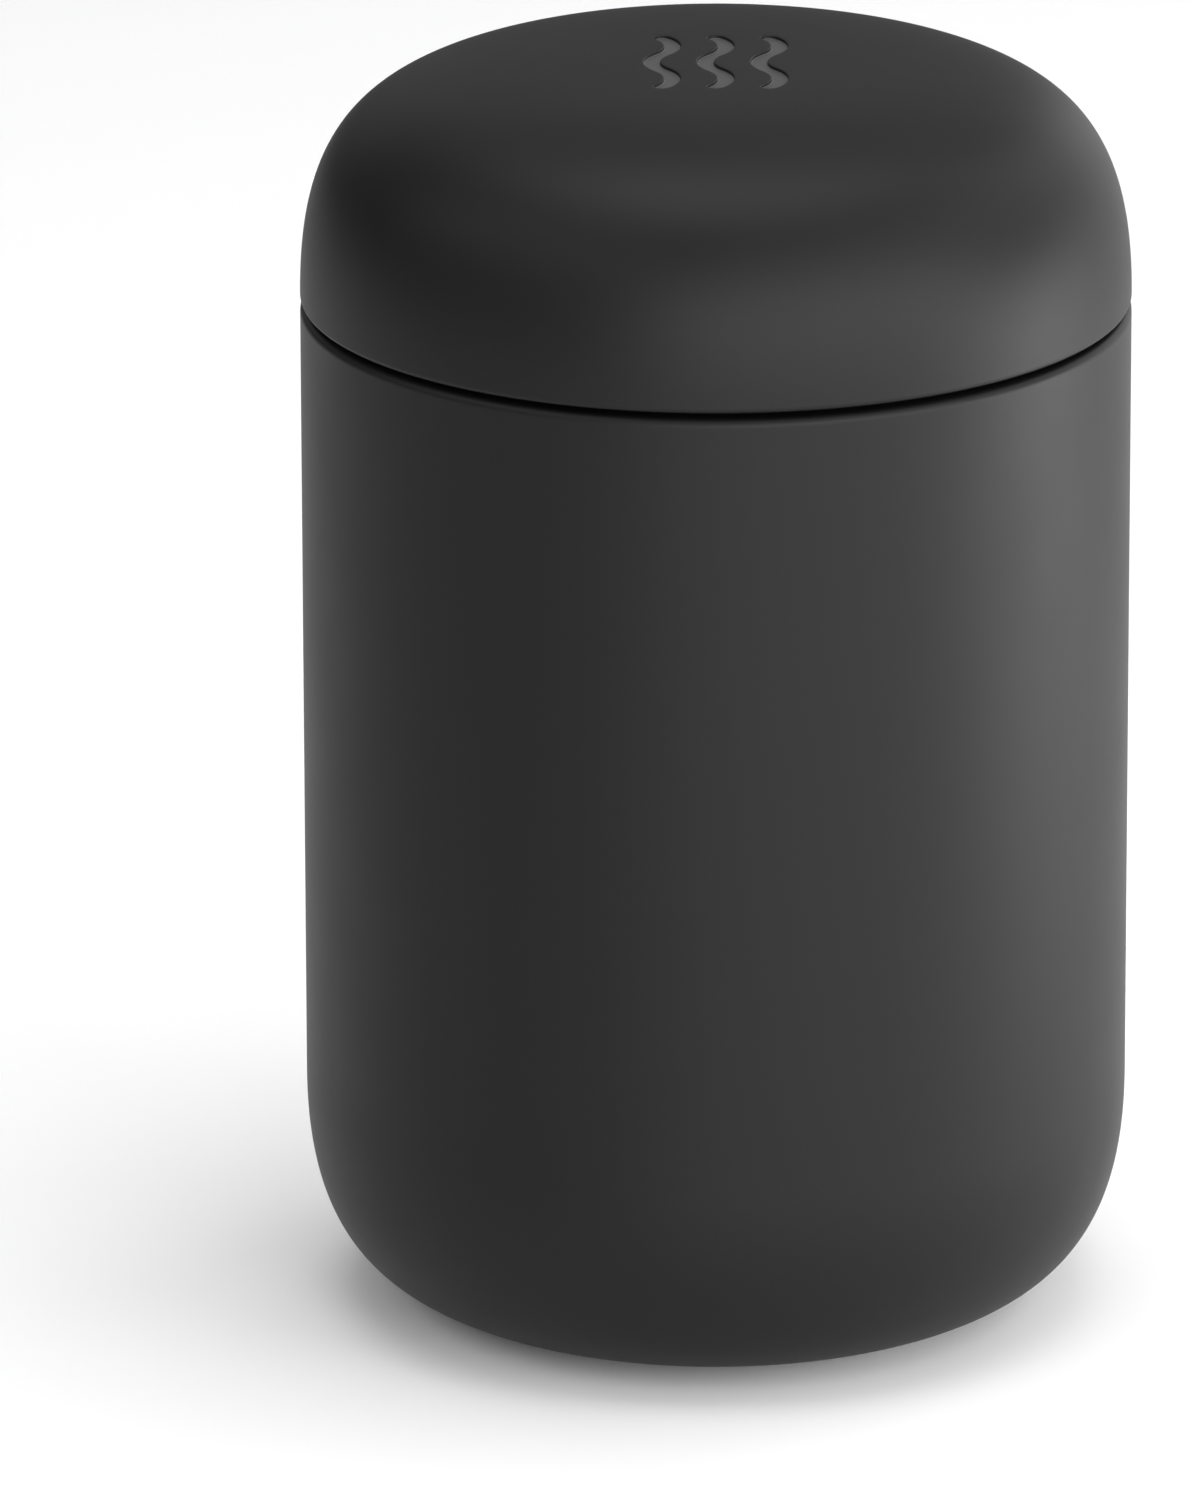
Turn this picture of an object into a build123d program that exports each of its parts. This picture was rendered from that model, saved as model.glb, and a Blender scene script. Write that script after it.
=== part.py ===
from build123d import *
from math import cos, radians, sin
import os

# A small double-wall vacuum mug with a domed screw-on lid and a lift-out splash guard.
# Frame: +Z up, origin on the floor at the centre of the foot pad, front towards -Y. Millimetres.

# ---- Envelope ---------------------------------------------------------------------------
outer_radius = 42.0
overall_height = 130.2
foot_proud = 0.4  # the foot pad stands this far below the steel

# ---- Outer steel shell ------------------------------------------------------------------
shell_wall = 0.6
base_flat_radius = 21.8
base_corner_height = 23.0
base_handle = 13.7  # pull of the base corner's curve along the base
side_handle = 16.5  # and up the side
base_opening_radius = 18.6
shoulder_z = 105.2
shoulder_edge_radius = 0.8
neck_root_radius = 1.0
neck_radius = 38.6
lip_z = 112.4

# ---- Steel liner ------------------------------------------------------------------------
liner_wall_t = 0.5
liner_radius = 36.2  # inside of the drinking vessel
liner_outer_radius = liner_radius + liner_wall_t
liner_floor_z = 7.4  # underside of the liner's floor
liner_corner_radius = 15.0
liner_join_z = 26.0  # weld between the drawn floor cup and the wall tube
lip_round = 0.2
ledge_z = 90.0  # seat for the splash guard
ledge_radius = 34.2
ledge_depth = 1.4

# ---- Three-start quick thread, right-handed ---------------------------------------------
thread_lead = 12.0
thread_starts = 3
ridge_base = 1.6
ridge_crest = 0.9
ridge_sink = 0.15  # root buried in its wall, so that both fuse cleanly
body_crest_radius = 35.2
body_ridge_z = 102.2
body_ridge_rise = 5.0
plug_crest_radius = 35.9
plug_ridge_rise = 4.0
plug_ridge_lag = 15.0  # degrees after the body ridge's start
plug_ridge_drop = 1.45  # centre to centre, leaving 0.3 between the loaded flanks

# ---- Vacuum space -----------------------------------------------------------------------
foil_t = 0.2
foil_bottom_z = 27.0
foil_top_z = 100.0
foil_disc_radius = 20.0
plate_t = 0.6
plate_radius = 20.8
plate_crown_radius = 13.0
plate_crown_rise = 1.0
exhaust_hole_radius = 0.6
seal_bead_radius = 3.0
seal_bead_t = 0.8
getter_radius = 3.2
getter_t = 1.6
getter_x = 6.0
strap_width = 2.4
strap_t = 0.2
strap_foot = 2.0

# ---- Foot -------------------------------------------------------------------------------
pad_radius = 18.3
pad_t = 0.8
pad_groove_radii = (8.0, 13.5)
pad_groove_width = 1.2
pad_groove_depth = 0.3
adhesive_inner_radius = 14.0
adhesive_outer_radius = 18.0

# ---- Lid --------------------------------------------------------------------------------
lid_bottom_z = 105.8
lid_edge_radius = 0.5
lid_wall = 2.2
crown_handle = 29.0  # pull of the dome's curve along the crown
weld_rib_inner = 36.2
weld_rib_outer = 37.8
weld_rib_top_z = 121.0
plug_radius = 34.9
plug_wall = 1.8
plug_bottom_z = 98.0
plug_corner_radius = 2.0
flange_bottom_z = 113.6
flange_t = 1.8
flange_radius = 38.4
gasket_outer_radius = 38.2
foam_gap = 0.3
foam_t = 12.0
foam_chamfer = 1.6

# ---- Mark on the crown: three wisps of steam, pressed in --------------------------------
wisp_bend_radius = 4.9
wisp_sweep = 76.0  # degrees of each of a wisp's three bends
wisp_width = 1.7
wisp_pitch = 5.4
wisp_depth = 0.35

# ---- Splash guard -----------------------------------------------------------------------
guard_radius = 34.9
guard_rim_inner = 31.4
guard_top_z = 93.4
guard_plate_t = 1.6
guard_plate_rim_z = 91.0  # underside of the dished plate at the rim
guard_plate_hub_z = 89.4  # and at the drinking opening
guard_hole_radius = 14.0
guard_collar_t = 1.4
drain_slots = 10
drain_slot_radius = 23.4
drain_slot_length = 9.0
drain_slot_width = 3.4
seal_groove_radius = 34.0
seal_bottom_z = 91.0
seal_top_z = 92.6
seal_radius = 35.9
seal_round = 0.5

corner_top_z = foot_proud + base_corner_height
plate_bottom_z = foot_proud + shell_wall
crown_under_z = plate_bottom_z + plate_crown_rise
crown_top_z = crown_under_z + plate_t
dome_start_z = lid_bottom_z + lid_edge_radius
flange_top_z = flange_bottom_z + flange_t
bend_x = wisp_bend_radius * cos(radians(wisp_sweep / 2))
bend_length = 2 * wisp_bend_radius * sin(radians(wisp_sweep / 2))


def ring_profile(inner, outer, bottom, top, mode=Mode.ADD):
    """Half section of a plain ring, in the sketch's own plane: x is radius and y is height."""
    with Locations((inner, bottom)):
        Rectangle(outer - inner, top - bottom, align=(Align.MIN, Align.MIN), mode=mode)


def body_region(inset):
    """Half section of everything inside the shell's surface, moved in by inset."""
    radius = outer_radius - inset
    bottom = foot_proud + inset
    neck = neck_radius - inset
    rim = lip_z - liner_wall_t
    keep = 1 - inset / base_corner_height
    edge_centre = (outer_radius - shoulder_edge_radius, shoulder_z - shoulder_edge_radius)
    root_centre = (neck_radius + neck_root_radius, shoulder_z + neck_root_radius)
    with BuildSketch() as region:
        with BuildLine():
            base = Line((0, bottom), (base_flat_radius, bottom))
            corner = Bezier(
                base @ 1,
                (base_flat_radius + base_handle * keep, bottom),
                (radius, corner_top_z - side_handle * keep),
                (radius, corner_top_z),
            )
            edge = CenterArc(edge_centre, shoulder_edge_radius - inset, 0, 90)
            Line(corner @ 1, edge @ 0)
            root = CenterArc(root_centre, neck_root_radius + inset, 270, -90)
            Line(edge @ 1, root @ 0)
            Polyline(root @ 1, (neck, rim), (0, rim), (0, bottom))
        make_face()
    return region.sketch


def liner_region(inset):
    """Half section of everything inside the liner's outer surface, moved in by inset."""
    radius = liner_outer_radius - inset
    bottom = liner_floor_z + inset
    centre = (liner_outer_radius - liner_corner_radius, liner_floor_z + liner_corner_radius)
    with BuildSketch() as region:
        with BuildLine():
            corner = CenterArc(centre, liner_corner_radius - inset, 270, 90)
            Line((0, bottom), corner @ 0)
            Polyline(corner @ 1, (radius, lip_z), (0, lip_z), (0, bottom))
        make_face()
    return region.sketch


def dome_region(inset):
    """Half section of everything under the lid's surface, moved in by inset."""
    radius = outer_radius - inset
    crown = overall_height - inset
    edge = max(lid_edge_radius - inset, 0)
    with BuildSketch() as region:
        with BuildLine():
            wall = Line((radius, lid_bottom_z), (radius, dome_start_z))
            dome = Bezier(
                wall @ 1,
                (radius, crown),
                (crown_handle * radius / outer_radius, crown),
                (0, crown),
            )
            Polyline(dome @ 1, (0, lid_bottom_z), wall @ 0)
        make_face()
        if edge:
            fillet(region.vertices().sort_by(Axis.X)[-2:].sort_by(Axis.Y)[0], edge)
    return region.sketch


def thread_ridge(wall_radius, crest_radius, start_z, rise):
    """One helical ridge standing from a wall towards crest_radius, beginning on the +X side."""
    sink = ridge_sink if wall_radius > crest_radius else -ridge_sink
    with BuildPart() as ridge:
        with BuildLine() as path:
            Helix(thread_lead, rise, wall_radius, center=(0, 0, start_z))
        with BuildSketch(Plane.XZ):
            with BuildLine():
                Polyline(
                    (wall_radius + sink, start_z - ridge_base / 2),
                    (crest_radius, start_z - ridge_crest / 2),
                    (crest_radius, start_z + ridge_crest / 2),
                    (wall_radius + sink, start_z + ridge_base / 2),
                    close=True,
                )
            make_face()
        sweep(path=path.line, is_frenet=True)
    return ridge.part


def save(piece, name):
    """Label a finished piece and write its STEP file."""
    piece.label = name
    export_step(piece, f"parts/{name}.step")


os.makedirs("parts", exist_ok=True)

# ---- outer_shell: drawn steel body with a rolled-in neck, open at the base ----------------
with BuildPart() as outer_shell:
    with BuildSketch(Plane.XZ):
        add(body_region(0))
        add(body_region(shell_wall), mode=Mode.SUBTRACT)
        ring_profile(0, base_opening_radius, foot_proud, plate_bottom_z, mode=Mode.SUBTRACT)
    revolve(axis=Axis.Z)
save(outer_shell.part, "outer_shell")

# ---- liner_base: drawn floor cup of the drinking vessel -----------------------------------
with BuildPart() as liner_base:
    with BuildSketch(Plane.XZ):
        add(liner_region(0))
        add(liner_region(liner_wall_t), mode=Mode.SUBTRACT)
        ring_profile(0, liner_outer_radius, liner_join_z, lip_z, mode=Mode.SUBTRACT)
    revolve(axis=Axis.Z)
save(liner_base.part, "liner_base")

# ---- liner_wall: tube with the guard ledge, the body thread and the lip --------------------
body_ridge = thread_ridge(liner_radius, body_crest_radius, body_ridge_z, body_ridge_rise)
with BuildPart() as liner_wall:
    with BuildSketch(Plane.XZ):
        ring_profile(liner_radius, liner_outer_radius, liner_join_z, lip_z)
        ring_profile(liner_radius, neck_radius, lip_z - liner_wall_t, lip_z)
        with BuildLine():
            Polyline(
                (liner_radius, ledge_z),
                (ledge_radius, ledge_z),
                (ledge_radius, ledge_z - ledge_depth / 2),
                (liner_radius, ledge_z - ledge_depth - (liner_radius - ledge_radius)),
                close=True,
            )
        make_face()
    revolve(axis=Axis.Z)
    lip_edges = liner_wall.edges().filter_by(GeomType.CIRCLE).group_by(Axis.Z)[-1]
    fillet(lip_edges, lip_round)
    with PolarLocations(0, thread_starts):
        add(body_ridge)
save(liner_wall.part, "liner_wall")

# ---- foil_wrap and foil_disc: heat reflectors wrapped on the liner -------------------------
with BuildPart() as foil_wrap:
    with BuildSketch(Plane.XZ):
        ring_profile(liner_outer_radius, liner_outer_radius + foil_t, foil_bottom_z, foil_top_z)
    revolve(axis=Axis.Z)
save(foil_wrap.part, "foil_wrap")

with BuildPart() as foil_disc:
    with BuildSketch(Plane.XY.offset(liner_floor_z)):
        Circle(foil_disc_radius)
    extrude(amount=-foil_t)
save(foil_disc.part, "foil_disc")

# ---- base_plate: closes the vacuum space, with a raised crown round the exhaust hole -------
with BuildPart() as base_plate:
    with BuildSketch(Plane.XY.offset(plate_bottom_z)):
        Circle(plate_radius)
    extrude(amount=plate_t)
    with BuildSketch(Plane.XY.offset(plate_bottom_z)):
        Circle(plate_crown_radius)
    extrude(amount=plate_t + plate_crown_rise, taper=20)
    with BuildSketch(Plane.XY.offset(plate_bottom_z)):
        Circle(plate_crown_radius - plate_t)
    extrude(amount=plate_crown_rise, taper=20, mode=Mode.SUBTRACT)
    Hole(exhaust_hole_radius)
save(base_plate.part, "base_plate")

# ---- exhaust_seal: glass bead that plugs the exhaust hole from below -----------------------
with BuildPart() as exhaust_seal:
    with BuildSketch(Plane.XZ):
        with BuildLine():
            bead_low = (0, crown_under_z - seal_bead_t)
            bead = TangentArc(bead_low, (seal_bead_radius, crown_under_z), tangent=(1, 0))
            Polyline(
                bead @ 1,
                (exhaust_hole_radius, crown_under_z),
                (exhaust_hole_radius, crown_top_z),
                (0, crown_top_z),
                bead_low,
            )
        make_face()
    revolve(axis=Axis.Z)
save(exhaust_seal.part, "exhaust_seal")

# ---- getter and getter_strap: gas absorber pill and the strip that holds it ----------------
with BuildPart() as getter:
    with BuildSketch(Plane.XY.offset(crown_top_z)):
        with Locations((getter_x, 0)):
            Circle(getter_radius)
    extrude(amount=getter_t)
save(getter.part, "getter")

with BuildPart() as getter_strap:
    with BuildSketch(Plane.YZ.offset(getter_x - strap_width / 2)):
        with Locations((0, crown_top_z)):
            Rectangle(
                2 * (getter_radius + strap_t),
                getter_t + strap_t,
                align=(Align.CENTER, Align.MIN),
            )
            Rectangle(
                2 * (getter_radius + strap_t + strap_foot),
                strap_t,
                align=(Align.CENTER, Align.MIN),
            )
            Rectangle(
                2 * getter_radius,
                getter_t,
                align=(Align.CENTER, Align.MIN),
                mode=Mode.SUBTRACT,
            )
    extrude(amount=strap_width)
save(getter_strap.part, "getter_strap")

# ---- pad_adhesive and foot_pad: the non-slip foot ------------------------------------------
with BuildPart() as pad_adhesive:
    with BuildSketch(Plane.XY.offset(pad_t)):
        Circle(adhesive_outer_radius)
        Circle(adhesive_inner_radius, mode=Mode.SUBTRACT)
    extrude(amount=plate_bottom_z - pad_t)
save(pad_adhesive.part, "pad_adhesive")

with BuildPart() as foot_pad:
    with BuildSketch():
        Circle(pad_radius)
    extrude(amount=pad_t)
    with BuildSketch():
        for groove_radius in pad_groove_radii:
            Circle(groove_radius + pad_groove_width / 2)
            Circle(groove_radius - pad_groove_width / 2, mode=Mode.SUBTRACT)
    extrude(amount=pad_groove_depth, mode=Mode.SUBTRACT)
save(foot_pad.part, "foot_pad")

# ---- lid_dome: moulded outer cap, with the weld rib inside and the mark on its crown -------
with BuildPart() as lid_dome:
    with BuildSketch(Plane.XZ):
        add(dome_region(0))
        add(dome_region(lid_wall), mode=Mode.SUBTRACT)
        ring_profile(weld_rib_inner, weld_rib_outer, flange_top_z, weld_rib_top_z)
    revolve(axis=Axis.Z)
    with BuildSketch(Plane.XY.offset(overall_height)):
        for place in (-1, 0, 1):
            for bend, side in ((-1, -1), (0, 1), (1, -1)):
                line = CenterArc(
                    (place * wisp_pitch + side * bend_x, bend * bend_length),
                    wisp_bend_radius,
                    90 * (1 + side) - wisp_sweep / 2,
                    wisp_sweep,
                )
                SlotArc(line, wisp_width)
    extrude(amount=-wisp_depth, mode=Mode.SUBTRACT)
save(lid_dome.part, "lid_dome")

# ---- lid_plug: cup that screws into the mouth, welded to the dome by its flange ------------
plug_ridge_z = body_ridge_z + thread_lead * plug_ridge_lag / 360 - plug_ridge_drop
plug_ridge = thread_ridge(plug_radius, plug_crest_radius, plug_ridge_z, plug_ridge_rise)
with BuildPart() as lid_plug:
    with BuildSketch(Plane.XZ):
        ring_profile(0, plug_radius, plug_bottom_z, flange_top_z)
        ring_profile(0, flange_radius, flange_bottom_z, flange_top_z)
    revolve(axis=Axis.Z)
    fillet(lid_plug.edges().filter_by(GeomType.CIRCLE).group_by(Axis.Z)[0], plug_corner_radius)
    with BuildSketch(Plane.XY.offset(flange_top_z)):
        Circle(plug_radius - plug_wall)
    extrude(amount=plug_bottom_z + plug_wall - flange_top_z, mode=Mode.SUBTRACT)
    with PolarLocations(0, thread_starts, start_angle=plug_ridge_lag):
        add(plug_ridge)
save(lid_plug.part, "lid_plug")

# ---- lid_gasket: silicone ring between the plug's flange and the lip -----------------------
with BuildPart() as lid_gasket:
    with BuildSketch(Plane.XZ):
        ring_profile(plug_radius, gasket_outer_radius, lip_z, flange_bottom_z)
    revolve(axis=Axis.Z)
save(lid_gasket.part, "lid_gasket")

# ---- lid_foam: insulating puck inside the plug ---------------------------------------------
with BuildPart() as lid_foam:
    with BuildSketch(Plane.XY.offset(plug_bottom_z + plug_wall + foam_gap)):
        Circle(plug_radius - plug_wall - foam_gap)
    extrude(amount=foam_t)
    chamfer(lid_foam.edges().filter_by(GeomType.CIRCLE), foam_chamfer)
save(lid_foam.part, "lid_foam")

# ---- splash_guard: dished disc with a drinking opening and drain slots ---------------------
with BuildPart() as splash_guard:
    with BuildSketch(Plane.XZ):
        with BuildLine():
            collar = guard_hole_radius + guard_collar_t
            Polyline(
                (guard_hole_radius, guard_plate_hub_z),
                (collar, guard_plate_hub_z),
                (guard_rim_inner, guard_plate_rim_z),
                (guard_rim_inner, ledge_z),
                (guard_radius, ledge_z),
                (guard_radius, guard_top_z),
                (guard_rim_inner, guard_top_z),
                (guard_rim_inner, guard_plate_rim_z + guard_plate_t),
                (collar, guard_plate_hub_z + guard_plate_t),
                (collar, guard_top_z),
                (guard_hole_radius, guard_top_z),
                close=True,
            )
        make_face()
        ring_profile(
            seal_groove_radius, guard_radius, seal_bottom_z, seal_top_z, mode=Mode.SUBTRACT
        )
    revolve(axis=Axis.Z)
    with BuildSketch(Plane.XY.offset(guard_top_z)):
        with PolarLocations(drain_slot_radius, drain_slots):
            SlotOverall(drain_slot_length, drain_slot_width)
    extrude(amount=guard_plate_hub_z - guard_top_z, mode=Mode.SUBTRACT)
save(splash_guard.part, "splash_guard")

# ---- guard_seal: silicone ring in the guard's groove, which grips the liner ----------------
with BuildPart() as guard_seal:
    with BuildSketch(Plane.XZ):
        ring_profile(seal_groove_radius, seal_radius, seal_bottom_z, seal_top_z)
    revolve(axis=Axis.Z)
    fillet(guard_seal.edges().filter_by(GeomType.CIRCLE).group_by(SortBy.RADIUS)[-1], seal_round)
save(guard_seal.part, "guard_seal")
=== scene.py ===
import math

import bmesh
import bpy
from mathutils import Matrix, Vector, geometry


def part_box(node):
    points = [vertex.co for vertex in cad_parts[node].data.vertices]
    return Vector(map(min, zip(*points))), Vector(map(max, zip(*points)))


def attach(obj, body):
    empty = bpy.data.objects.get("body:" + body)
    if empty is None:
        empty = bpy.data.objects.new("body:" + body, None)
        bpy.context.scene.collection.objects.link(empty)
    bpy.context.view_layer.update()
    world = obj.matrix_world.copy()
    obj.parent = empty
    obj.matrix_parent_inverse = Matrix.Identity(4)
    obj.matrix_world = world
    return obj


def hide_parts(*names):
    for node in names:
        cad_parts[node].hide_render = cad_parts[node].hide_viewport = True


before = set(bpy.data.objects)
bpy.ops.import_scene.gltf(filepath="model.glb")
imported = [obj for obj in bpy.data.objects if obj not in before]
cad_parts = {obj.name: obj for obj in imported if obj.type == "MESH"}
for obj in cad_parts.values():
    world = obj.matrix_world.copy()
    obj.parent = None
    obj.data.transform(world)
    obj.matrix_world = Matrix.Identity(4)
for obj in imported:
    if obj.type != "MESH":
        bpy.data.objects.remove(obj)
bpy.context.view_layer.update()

# Looks of the insulated screw-lid mug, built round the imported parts. The mesh code works in
# millimetres and degrees in the row's frame. Finished pieces and the scene are in metres.

MM = 0.001
SEGMENTS = 384  # round the axis, on every turned surface
SHARP_ANGLE = 38.0  # edges sharper than this aren't shaded smooth
CAP_STEPS = 10  # pieces in the half circle at a slot's end


def box_mm(node):
    """A CAD node's lowest and highest corners, in millimetres."""
    low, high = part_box(node)
    return low / MM, high / MM


# ---- Dimensions: boxes come from the frame, the rest repeat the design's own sizes --------
SHELL_LOW, SHELL_HIGH = box_mm("outer_shell")
LINER_HIGH = box_mm("liner_wall")[1]
FLOOR_LOW, FLOOR_HIGH = box_mm("liner_base")
DOME_LOW, DOME_HIGH = box_mm("lid_dome")
PLUG_LOW, PLUG_HIGH = box_mm("lid_plug")
GASKET_LOW, GASKET_HIGH = box_mm("lid_gasket")
GUARD_LOW, GUARD_HIGH = box_mm("splash_guard")
SEAL_LOW, SEAL_HIGH = box_mm("guard_seal")
PAD_HIGH = box_mm("foot_pad")[1]

OUTER_R = SHELL_HIGH.x
SHELL_WALL = 0.6
BASE_OPENING_R = 18.6
BASE_FLAT_R = 21.8
BASE_CORNER_H = 23.0
BASE_HANDLE = 13.7  # the base's corner is one curve, with these handles at its two ends
SIDE_HANDLE = 16.5
SHOULDER_Z = 105.2
SHOULDER_EDGE_R = 0.8
NECK_ROOT_R = 1.0
NECK_R = LINER_HIGH.x
LINER_WALL = 0.5
LINER_OUTER_R = FLOOR_HIGH.x
LINER_R = LINER_OUTER_R - LINER_WALL
LINER_CORNER_R = 15.0
LIP_EDGE_R = 0.22
LIP_INNER_EDGE_R = 0.25
GUARD_RIM_H = 3.4
LEDGE_Z = GUARD_HIGH.z - GUARD_RIM_H
LEDGE_R = 34.2
LEDGE_DEPTH = 1.4
LEDGE_EDGE_R = 0.35
LEDGE_ROOT_R = 0.15
PAD_EDGE_R = 0.25
PAD_GROOVES = (13.5, 8.0)
PAD_GROOVE_WIDTH = 1.2
PAD_GROOVE_DEPTH = 0.3

THREAD_LEAD = 12.0
THREAD_STARTS = 3
RIDGE_BASE = 1.6
RIDGE_CREST = 0.9
RIDGE_H = 1.0
RIDGE_TAPER = 14.0  # degrees over which a ridge's end runs out
BODY_RIDGE_Z = 102.2
BODY_RIDGE_SPAN = 150.0
BODY_THREAD_Z = (100.0, 110.0)  # the liner's wall has fine rows between these heights
PLUG_RIDGE_SPAN = 120.0
PLUG_RIDGE_LAG = 15.0
PLUG_RIDGE_DROP = 1.45
PLUG_THREAD_TOP = 107.5  # and the plug's wall has them up to this height
THREAD_ROW = 0.16  # height of one fine row

LID_EDGE_R = 0.5
LID_INNER_EDGE_R = 0.25
LID_WALL = 2.2
CROWN_HANDLE = 29.0  # of the dome's curve, at the centre of the crown
WELD_RIB = (36.2, 37.8)
PLUG_R = 34.9
PLUG_WALL = 1.8
PLUG_CORNER_R = 2.0
PLUG_INNER_CORNER_R = 1.0
PLUG_EDGE_R = 0.3
FLANGE_T = 1.8
PLUG_RECESS_R = 27.5
PLUG_RECESS_H = 0.5
GASKET_GAP = 0.05  # room between the gasket and the plug
GASKET_BEAD_R = 0.55
GASKET_INNER_BEAD = 1.35  # from the gasket's inside to the middle of its inner bead

WISP_BEND_R = 4.9
WISP_SWEEP = 76.0
WISP_WIDTH = 1.7
WISP_PITCH = 5.4
WISP_DEPTH = 0.35
WISP_WALL = (  # steps from the crown down into the mark: distance outside its edge, depth
    (0.20, 0.0),
    (0.09, 0.01),
    (0.02, 0.05),
    (-0.02, 0.14),
    (-0.04, 0.28),
    (-0.10, 0.335),
    (-0.24, WISP_DEPTH),
)
MARK_STEPS = 4  # steps from here on belong to the mark's floor
CROWN_PATCH_R = 13.0  # the part of the crown round the mark
CROWN_GRID = 1.1  # distance between the points that shape it
CROWN_MARGIN = 0.35  # least distance from those points to the mark

GUARD_RIM_INNER = 31.4
GUARD_RIM_EDGE_R = 0.35
GUARD_RIM_FOOT_R = 0.25
GUARD_RIM_ROOT_R = 0.2
GUARD_HOLE_R = 14.0
GUARD_COLLAR_T = 1.4
COLLAR_EDGE_R = 0.6
COLLAR_FOOT_R = 0.4
GUARD_PLATE_T = 1.6
GUARD_DISH = 1.6  # how much lower the plate is at its middle than at its rim
DRAIN_SLOTS = 10
DRAIN_SLOT_R = 23.4
DRAIN_SLOT_LENGTH = 9.0
DRAIN_SLOT_WIDTH = 3.4
SEAL_GROOVE_R = 34.0
SEAL_FIN_R = 0.16  # rounding of each fin's edge
PLATE_MARGIN = 0.4  # fillet between the plate and its rim and collar
SLOT_EDGE = (  # steps from the plate's face into a slot: distance outside its wall, depth
    (0.42, 0.0),
    (0.3, 0.015),
    (0.12, 0.12),
    (0.03, 0.25),
    (0.0, 0.42),
)

# ---- Looks ----------------------------------------------------------------------------------
COAT_GREY = 0.004  # matt black powder coat of the shell
COAT_ROUGHNESS = 0.5
COAT_SPECULAR = 0.225
GREY_DRIFT = 0.04  # share by which the coat and the plastics are darker or lighter in places
ROUGHNESS_DRIFT = 0.015  # and how much rougher or smoother they are
LID_GREY = 0.004  # matt black plastic of the lid
LID_ROUGHNESS = 0.5
MARK_REFLECTION_GREY = 0.062  # floor of the mark: smoother than the crown, and its lighter grey is a painted reflection of the bright surroundings
MARK_ROUGHNESS = 0.42
INNER_GREY = 0.045  # plastic of the plug and the guard
INNER_ROUGHNESS = 0.42
STEEL_GREY = 0.46
STEEL_ROUGHNESS = 0.34
RUBBER_GREY = 0.07
FLOOR_COLOR = (0.95, 0.95, 0.95)
FLOOR_HALF = 6.0
WORLD_STRENGTH = 0.05

# ---- Camera ---------------------------------------------------------------------------------
MUG_MIDDLE = 0.0634  # height that the camera and the lights face
SENSOR = 36.0
LENS = 360.6
VIEW_DISTANCE = 1.5312
VIEW_ELEVATION = 17.962
VIEW_TILT = 0.2168  # the mug stands this far above the picture's middle, in degrees
VIEW_PAN = 0.4549  # and this far to its right

# ---- Lights: banks of equal panels that face the mug ----------------------------------------
# Name, azimuths, elevation, distance, width, height, watts for each panel. Azimuth 0 is in
# front, 90 to the right.
SOFTBOXES = (
    ("low_front_right", (0, 30, 60), 8, 1.3, 0.6, 0.6, 7.0),
    ("low_rear_right", (120, 150), 8, 1.3, 0.6, 0.6, 1.7),
    ("rear", (155, 180, 205), 20, 1.3, 0.6, 0.6, 0.45),
    ("middle_right", (20, 55, 90, 125), 36, 1.3, 0.6, 0.6, 2.1),
    ("middle_left", (-90, -60, -30), 36, 1.3, 0.6, 0.6, 1.5),
    ("high_ring", (-60, 60, 120, 150, 180, 210, 240), 62, 1.3, 0.6, 0.6, 0.75),
    ("overhead", (0,), 89, 1.3, 0.9, 0.9, 6.7),
    ("card_right", (90,), -2, 0.3, 0.2, 0.1, 0.48),
)


# ---- Outlines: points a fraction of a millimetre before a bend keep the shading flat up to it
def arc(centre, radius, start, end, steps=8):
    """Points on an arc, in (radius, height), with angles in degrees."""
    angles = [math.radians(start + (end - start) * i / steps) for i in range(steps + 1)]
    return [(centre[0] + radius * math.cos(a), centre[1] + radius * math.sin(a)) for a in angles]


def rounded(corner, radius, start, end, steps=4):
    """The quarter circle that rounds a corner off, from one angle to the other."""
    a, b = math.radians(start), math.radians(end)
    side = round(math.cos(a) + math.cos(b)), round(math.sin(a) + math.sin(b))
    centre = (corner[0] - radius * side[0], corner[1] - radius * side[1])
    return arc(centre, radius, start, end, steps)


def bezier(p0, p1, p2, p3, steps=64):
    """Points on a cubic curve, both ends included."""
    points = []
    for i in range(steps + 1):
        t = i / steps
        weights = ((1 - t) ** 3, 3 * t * (1 - t) ** 2, 3 * t * t * (1 - t), t**3)
        points.append(
            tuple(sum(w * p[k] for w, p in zip(weights, (p0, p1, p2, p3))) for k in (0, 1))
        )
    return points


def inset(path, distance):
    """The open path moved sideways, to the left of its direction."""
    moved = []
    for i, (r, z) in enumerate(path):
        before = path[max(i - 1, 0)]
        after = path[min(i + 1, len(path) - 1)]
        along = Vector((after[0] - before[0], after[1] - before[1])).normalized()
        moved.append((r - along.y * distance, z + along.x * distance))
    return moved


def capsule(centre_line, reach):
    """Closed outline, counter-clockwise, at a distance from an open line of (x, y) points."""
    line = [Vector(p) for p in centre_line]
    sides = []
    for i, here in enumerate(line):
        along = (line[min(i + 1, len(line) - 1)] - line[max(i - 1, 0)]).normalized()
        sides.append(Vector((along.y, -along.x)))
    outline = [p + s * reach for p, s in zip(line, sides)]
    outline += cap(line[-1], sides[-1], reach)
    outline += [p - s * reach for p, s in zip(reversed(line), reversed(sides))]
    outline += cap(line[0], -sides[0], reach)
    return outline


def cap(end, side, reach):
    """The inner points of a half circle that turns counter-clockwise from side to -side."""
    points = []
    for k in range(1, CAP_STEPS):
        spoke = side * reach
        spoke.rotate(Matrix.Rotation(math.pi * k / CAP_STEPS, 2))
        points.append(end + spoke)
    return points


# ---- Meshes ---------------------------------------------------------------------------------
def smoothstep(t):
    """0 to 1, with a soft start and end."""
    t = min(max(t, 0.0), 1.0)
    return t * t * (3 - 2 * t)


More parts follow.
